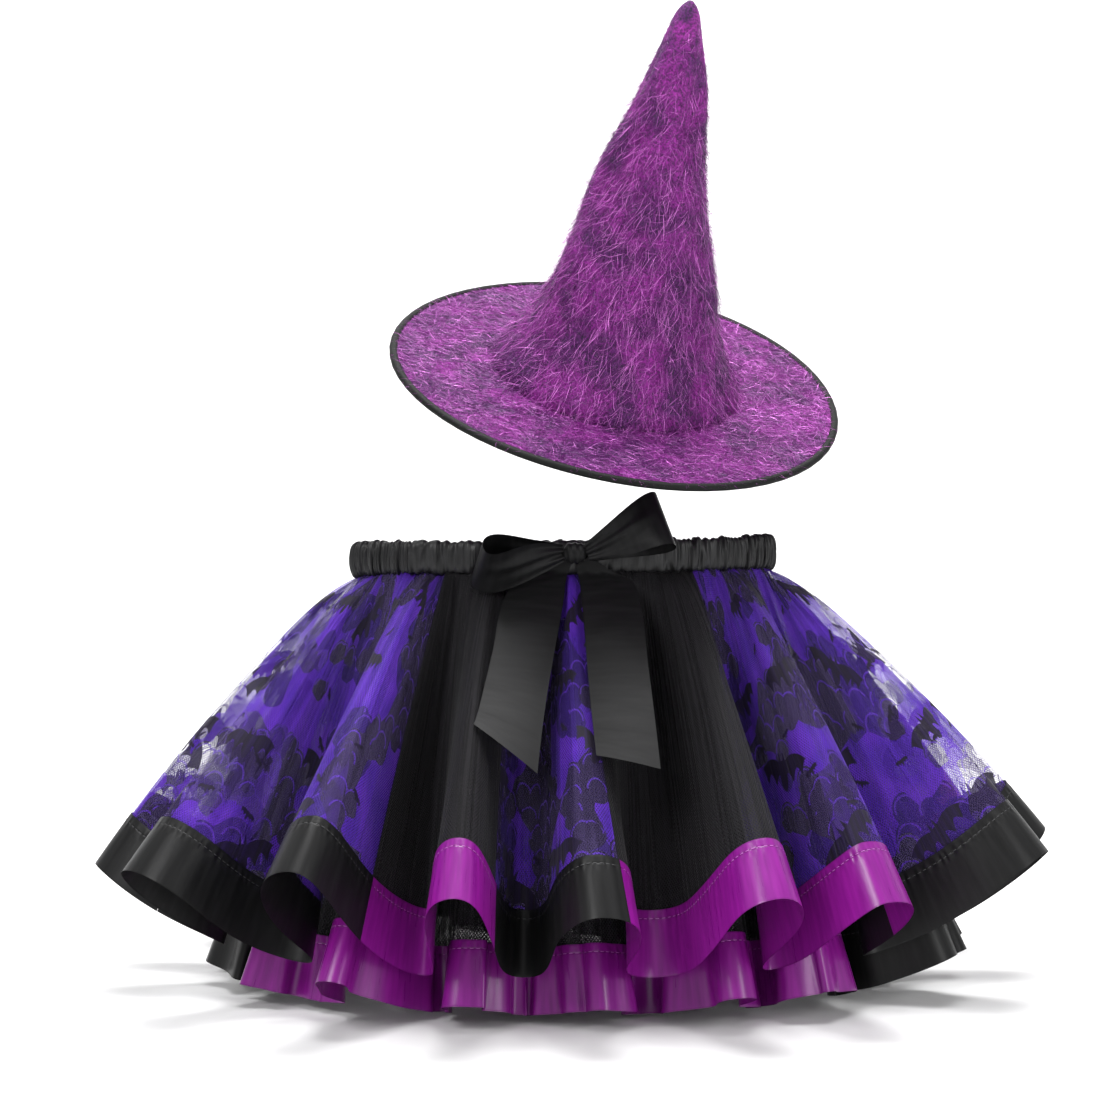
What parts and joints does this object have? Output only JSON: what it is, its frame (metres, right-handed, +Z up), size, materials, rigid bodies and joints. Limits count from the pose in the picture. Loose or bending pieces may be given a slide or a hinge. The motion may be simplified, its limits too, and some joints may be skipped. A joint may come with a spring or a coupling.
{
  "type": "witch costume",
  "caption": "Child's witch costume: hollow layered tutu skirt with satin hem ribbons, gathered waistband and ribbon bow, and a pointed wide-brimmed tinsel hat set above it.",
  "frame": {"origin": "the middle of the waist opening, halfway up the waistband's front", "axes": "+X to the right as seen from the front, the front faces -Y, +Z up through the waist"},
  "size_m": [0.5735, 0.4593, 0.5778],
  "materials": {
    "print_net": "sheer net printed with bats and clouds",
    "black_net": "black sheer net",
    "black_satin": "black satin",
    "purple_satin": "magenta purple satin",
    "tinsel": "purple cloth covered in tinsel",
    "binding": "black bias tape"
  },
  "bodies": {
    "root": {"skirt_front_left": "print_net", "ribbon_front_left": "black_satin", "skirt_front_left_net": "black_net", "ribbon_front_left_net": "purple_satin", "skirt_front_middle": "print_net", "ribbon_front_middle": "black_satin", "skirt_front_right_net": "black_net", "ribbon_front_right_net": "purple_satin", "skirt_front_right": "print_net", "ribbon_front_right": "purple_satin", "skirt_side_right": "print_net", "ribbon_side_right": "black_satin", "skirt_back_right_net": "black_net", "ribbon_back_right_net": "purple_satin", "skirt_back_right": "print_net", "ribbon_back_right": "black_satin", "skirt_back_middle_net": "black_net", "ribbon_back_middle_net": "purple_satin", "skirt_back_left": "print_net", "ribbon_back_left": "black_satin", "skirt_back_left_net": "black_net", "ribbon_back_left_net": "purple_satin", "skirt_side_left": "print_net", "ribbon_side_left": "black_satin", "skirt_middle_front": "black_net", "ribbon_middle_front": "purple_satin", "skirt_middle_right": "black_net", "ribbon_middle_right": "black_satin", "skirt_middle_back": "black_net", "ribbon_middle_back": "purple_satin", "skirt_middle_left": "black_net", "ribbon_middle_left": "black_satin", "skirt_lining_front": "black_net", "skirt_lining_right": "black_net", "skirt_lining_back": "black_net", "skirt_lining_left": "black_net", "waistband": "black_satin", "bow_knot": "black_satin", "bow_loop_left": "black_satin", "bow_loop_right": "black_satin", "bow_tail_left": "black_satin", "bow_tail_right": "black_satin", "hat_crown": "tinsel", "hat_brim": "tinsel", "hat_binding": "binding"}
  },
  "joints": []
}
